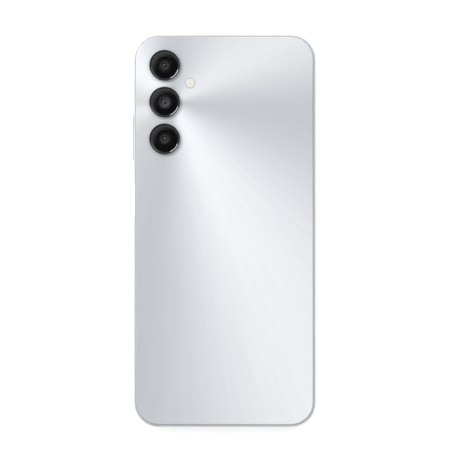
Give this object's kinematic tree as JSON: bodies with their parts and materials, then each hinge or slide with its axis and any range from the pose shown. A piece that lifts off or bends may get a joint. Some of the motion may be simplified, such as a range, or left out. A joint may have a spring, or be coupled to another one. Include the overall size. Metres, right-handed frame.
{
  "type": "smartphone",
  "caption": "Slim slab smartphone, silver back with raised round camera windows, a flash, side keys, card tray and bottom sockets.",
  "frame": {"origin": "middle of the cover glass's outer face, which the phone lies on", "axes": "+Z out of the rear panel, +Y towards the phone's top edge, +X to the right when the rear panel is seen with its top edge up"},
  "size_m": [0.0785, 0.168, 0.0099],
  "materials": {
    "frame": "pale silver painted polycarbonate, satin gloss",
    "rear_panel": "silver polycarbonate with a sunray film under a gloss coat",
    "tape": "black double-sided foam tape",
    "plate": "die-cast, lightly blasted",
    "screen_glass": "polished chemically strengthened glass",
    "display": "dark liquid-crystal cell",
    "backlight": "white reflector sheet",
    "flex": "amber polyimide",
    "camera_ring": "black anodised with a polished chamfer",
    "camera_glass": "polished, dark printed back",
    "foam": "black foam",
    "inner_plastic": "black moulded, fine grain",
    "steel": "bright stamped sheet",
    "lens_plastic": "black moulded with coated lens",
    "flash_lens": "clear warm white moulded lens",
    "led": "yellow phosphor",
    "key": "pale silver painted",
    "sensor": "hard-coated silver",
    "tray": "pale silver painted",
    "seal": "soft silicone",
    "membrane": "thin formed film",
    "mesh": "blackened woven mesh",
    "gold": "gold-plated can",
    "weight": "sintered tungsten alloy",
    "board": "dark green solder mask",
    "shield": "tin-plated sheet",
    "battery": "dark wrapped pouch",
    "screw": "nickel-plated"
  },
  "bodies": {
    "chassis": {"side_frame": "frame", "rear_panel": "rear_panel", "rear_panel_tape": "tape", "mid_plate": "plate", "cover_glass": "screen_glass", "cover_glass_tape": "tape", "display_panel": "display", "backlight_unit": "backlight", "display_flex": "flex", "camera_ring_top": "camera_ring", "camera_ring_middle": "camera_ring", "camera_ring_bottom": "camera_ring", "camera_window_top": "camera_glass", "camera_window_middle": "camera_glass", "camera_window_bottom": "camera_glass", "camera_dust_seals": "foam", "camera_cradle": "inner_plastic", "main_camera_housing": "steel", "upper_camera_module": "lens_plastic", "lower_camera_module": "lens_plastic", "flash_lens": "flash_lens", "flash_led": "led", "front_camera": "lens_plastic", "key_switches": "steel", "side_key_flex": "flex", "sim_socket": "steel", "usb_c_shell": "steel", "usb_c_tongue": "inner_plastic", "headphone_jack": "inner_plastic", "loudspeaker_box": "inner_plastic", "speaker_mesh": "mesh", "microphones": "gold", "earpiece_box": "inner_plastic", "earpiece_mesh": "mesh", "vibration_motor_case": "steel", "main_board": "board", "processor_shield": "shield", "radio_shield": "shield", "sub_board": "board", "board_flex": "flex", "battery": "battery", "battery_flex": "flex", "upper_cover": "inner_plastic", "lower_cover": "inner_plastic", "cover_screws": "screw"},
    "volume_key": {"volume_key": "key"},
    "volume_up_actuator": {"volume_up_actuator": "inner_plastic"},
    "volume_down_actuator": {"volume_down_actuator": "inner_plastic"},
    "power_key": {"power_key": "key", "fingerprint_sensor": "sensor"},
    "power_actuator": {"power_actuator": "inner_plastic"},
    "eject_slider": {"eject_slider": "inner_plastic"},
    "eject_rod": {"eject_rod": "steel"},
    "eject_lever": {"eject_lever": "steel"},
    "sim_tray": {"sim_tray": "tray", "tray_seal": "seal"},
    "vibration_rotor": {"vibration_rotor": "weight"},
    "loudspeaker_cone": {"loudspeaker_cone": "membrane"},
    "earpiece_diaphragm": {"earpiece_diaphragm": "membrane"},
    "main_camera_barrel": {"main_camera_barrel": "lens_plastic"}
  },
  "joints": [
    {"name": "volume_rock", "type": "hinge", "parent": "chassis", "child": "volume_key", "pos_m": [-0.03735, 0.0404, 0.005], "axis": [0, 0, 1], "range_deg": [-1.43, 1.43], "stiffness_Nm_per_rad": 0.3},
    {"name": "volume_up_press", "type": "slide", "parent": "chassis", "child": "volume_up_actuator", "axis": [1, 0, 0], "range_m": [-0.0002, 0.0002]},
    {"name": "volume_down_press", "type": "slide", "parent": "chassis", "child": "volume_down_actuator", "axis": [1, 0, 0], "range_m": [-0.0002, 0.0002]},
    {"name": "power_press", "type": "slide", "parent": "chassis", "child": "power_key", "axis": [1, 0, 0], "range_m": [0, 0.0002], "stiffness_N_per_m": 2000},
    {"name": "power_switch_press", "type": "slide", "parent": "chassis", "child": "power_actuator", "axis": [1, 0, 0], "range_m": [0, 0.0002]},
    {"name": "tray_eject", "type": "slide", "parent": "chassis", "child": "eject_slider", "axis": [1, 0, 0], "range_m": [0, 0.0016]},
    {"name": "eject_rod_push", "type": "slide", "parent": "chassis", "child": "eject_rod", "axis": [-1, 0, 0], "range_m": [0, 0.0016]},
    {"name": "eject_lever_turn", "type": "hinge", "parent": "chassis", "child": "eject_lever", "pos_m": [-0.00233, 0.05085, 0.005], "axis": [0, 0, 1], "range_deg": [-15.5, 0]},
    {"name": "tray_pull", "type": "slide", "parent": "eject_slider", "child": "sim_tray", "axis": [1, 0, 0], "range_m": [0, 0.039]},
    {"name": "motor_spin", "type": "hinge", "parent": "chassis", "child": "vibration_rotor", "pos_m": [0.0309, -0.0745, 0.0044], "axis": [0, 0, 1], "continuous": true},
    {"name": "loudspeaker_stroke", "type": "slide", "parent": "chassis", "child": "loudspeaker_cone", "axis": [0, 0, 1], "range_m": [-0.0003, 0.0003], "stiffness_N_per_m": 1000},
    {"name": "earpiece_stroke", "type": "slide", "parent": "chassis", "child": "earpiece_diaphragm", "axis": [0, 0, 1], "range_m": [-0.0002, 0.0002], "stiffness_N_per_m": 500},
    {"name": "lens_focus", "type": "slide", "parent": "chassis", "child": "main_camera_barrel", "axis": [0, 0, 1], "range_m": [0, 0.0003], "stiffness_N_per_m": 300}
  ],
  "couplings": [
    {"joint": "volume_up_press", "follows": "volume_rock", "m_per_rad": -0.008},
    {"joint": "volume_down_press", "follows": "volume_rock", "m_per_rad": 0.008},
    {"joint": "power_switch_press", "follows": "power_press", "ratio": 1},
    {"joint": "eject_rod_push", "follows": "tray_eject", "ratio": 1},
    {"joint": "eject_lever_turn", "follows": "tray_eject", "rad_per_m": -166.67}
  ]
}
